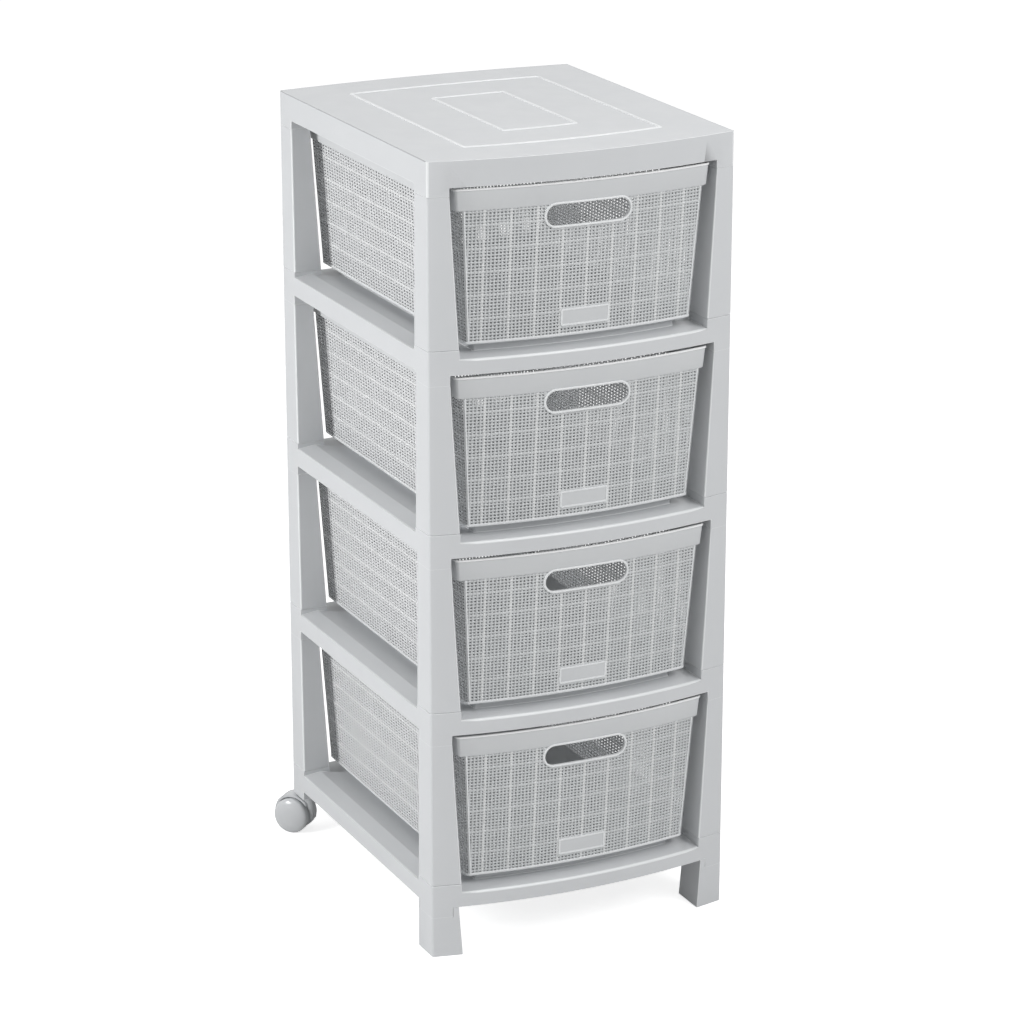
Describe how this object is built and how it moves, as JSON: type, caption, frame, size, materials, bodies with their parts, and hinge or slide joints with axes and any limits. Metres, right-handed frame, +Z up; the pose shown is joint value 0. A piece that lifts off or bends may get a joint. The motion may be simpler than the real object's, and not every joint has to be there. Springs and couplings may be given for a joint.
{
  "type": "drawer tower",
  "caption": "Moulded plastic drawer tower with basket drawers, corner posts, shelves, front legs and swivel casters at the rear.",
  "frame": {"origin": "middle of the footprint on the floor, midway between the side faces and between the front and rear corners", "axes": "+Z up, +X to the right seen from the front, the drawers open towards -Y"},
  "size_m": [0.3852, 0.4227, 0.841],
  "materials": {
    "shell": "satin moulded polypropylene",
    "basket": "moulded polypropylene with a canvas-weave grain",
    "caster": "glossy moulded plastic",
    "steel": "bright drawn steel"
  },
  "bodies": {
    "frame": {"top_panel": "shell", "shelf_2": "shell", "shelf_3": "shell", "shelf_4": "shell", "base_shelf": "shell", "post_1_front_left": "shell", "post_1_front_right": "shell", "post_1_rear_left": "shell", "post_1_rear_right": "shell", "post_2_front_left": "shell", "post_2_front_right": "shell", "post_2_rear_left": "shell", "post_2_rear_right": "shell", "post_3_front_left": "shell", "post_3_front_right": "shell", "post_3_rear_left": "shell", "post_3_rear_right": "shell", "post_4_front_left": "shell", "post_4_front_right": "shell", "post_4_rear_left": "shell", "post_4_rear_right": "shell", "front_leg_left": "shell", "front_leg_right": "shell", "caster_socket_left": "shell", "caster_socket_right": "shell"},
    "drawer_1": {"drawer_1": "basket"},
    "drawer_2": {"drawer_2": "basket"},
    "drawer_3": {"drawer_3": "basket"},
    "drawer_4": {"drawer_4": "basket"},
    "caster_left": {"caster_hood_left": "caster", "caster_stem_left": "steel", "caster_axle_left": "steel"},
    "wheel_left_outer": {"wheel_left_outer": "caster"},
    "wheel_left_inner": {"wheel_left_inner": "caster"},
    "caster_right": {"caster_hood_right": "caster", "caster_stem_right": "steel", "caster_axle_right": "steel"},
    "wheel_right_outer": {"wheel_right_outer": "caster"},
    "wheel_right_inner": {"wheel_right_inner": "caster"}
  },
  "joints": [
    {"name": "drawer_1_slide", "type": "slide", "parent": "frame", "child": "drawer_1", "axis": [0, -1, 0], "range_m": [0, 0.3]},
    {"name": "drawer_2_slide", "type": "slide", "parent": "frame", "child": "drawer_2", "axis": [0, -1, 0], "range_m": [0, 0.3]},
    {"name": "drawer_3_slide", "type": "slide", "parent": "frame", "child": "drawer_3", "axis": [0, -1, 0], "range_m": [0, 0.3]},
    {"name": "drawer_4_slide", "type": "slide", "parent": "frame", "child": "drawer_4", "axis": [0, -1, 0], "range_m": [0, 0.3]},
    {"name": "caster_left_swivel", "type": "hinge", "parent": "frame", "child": "caster_left", "pos_m": [-0.1565, 0.174, 0.044], "axis": [0, 0, 1], "continuous": true},
    {"name": "wheel_left_outer_spin", "type": "hinge", "parent": "caster_left", "child": "wheel_left_outer", "pos_m": [-0.16787, 0.18663, 0.02], "axis": [0.7431, 0.6691, 0], "continuous": true},
    {"name": "wheel_left_inner_spin", "type": "hinge", "parent": "caster_left", "child": "wheel_left_inner", "pos_m": [-0.16787, 0.18663, 0.02], "axis": [0.7431, 0.6691, 0], "continuous": true},
    {"name": "caster_right_swivel", "type": "hinge", "parent": "frame", "child": "caster_right", "pos_m": [0.1565, 0.174, 0.044], "axis": [0, 0, 1], "continuous": true},
    {"name": "wheel_right_outer_spin", "type": "hinge", "parent": "caster_right", "child": "wheel_right_outer", "pos_m": [0.16787, 0.18663, 0.02], "axis": [0.7431, -0.6691, 0], "continuous": true},
    {"name": "wheel_right_inner_spin", "type": "hinge", "parent": "caster_right", "child": "wheel_right_inner", "pos_m": [0.16787, 0.18663, 0.02], "axis": [0.7431, -0.6691, 0], "continuous": true}
  ]
}
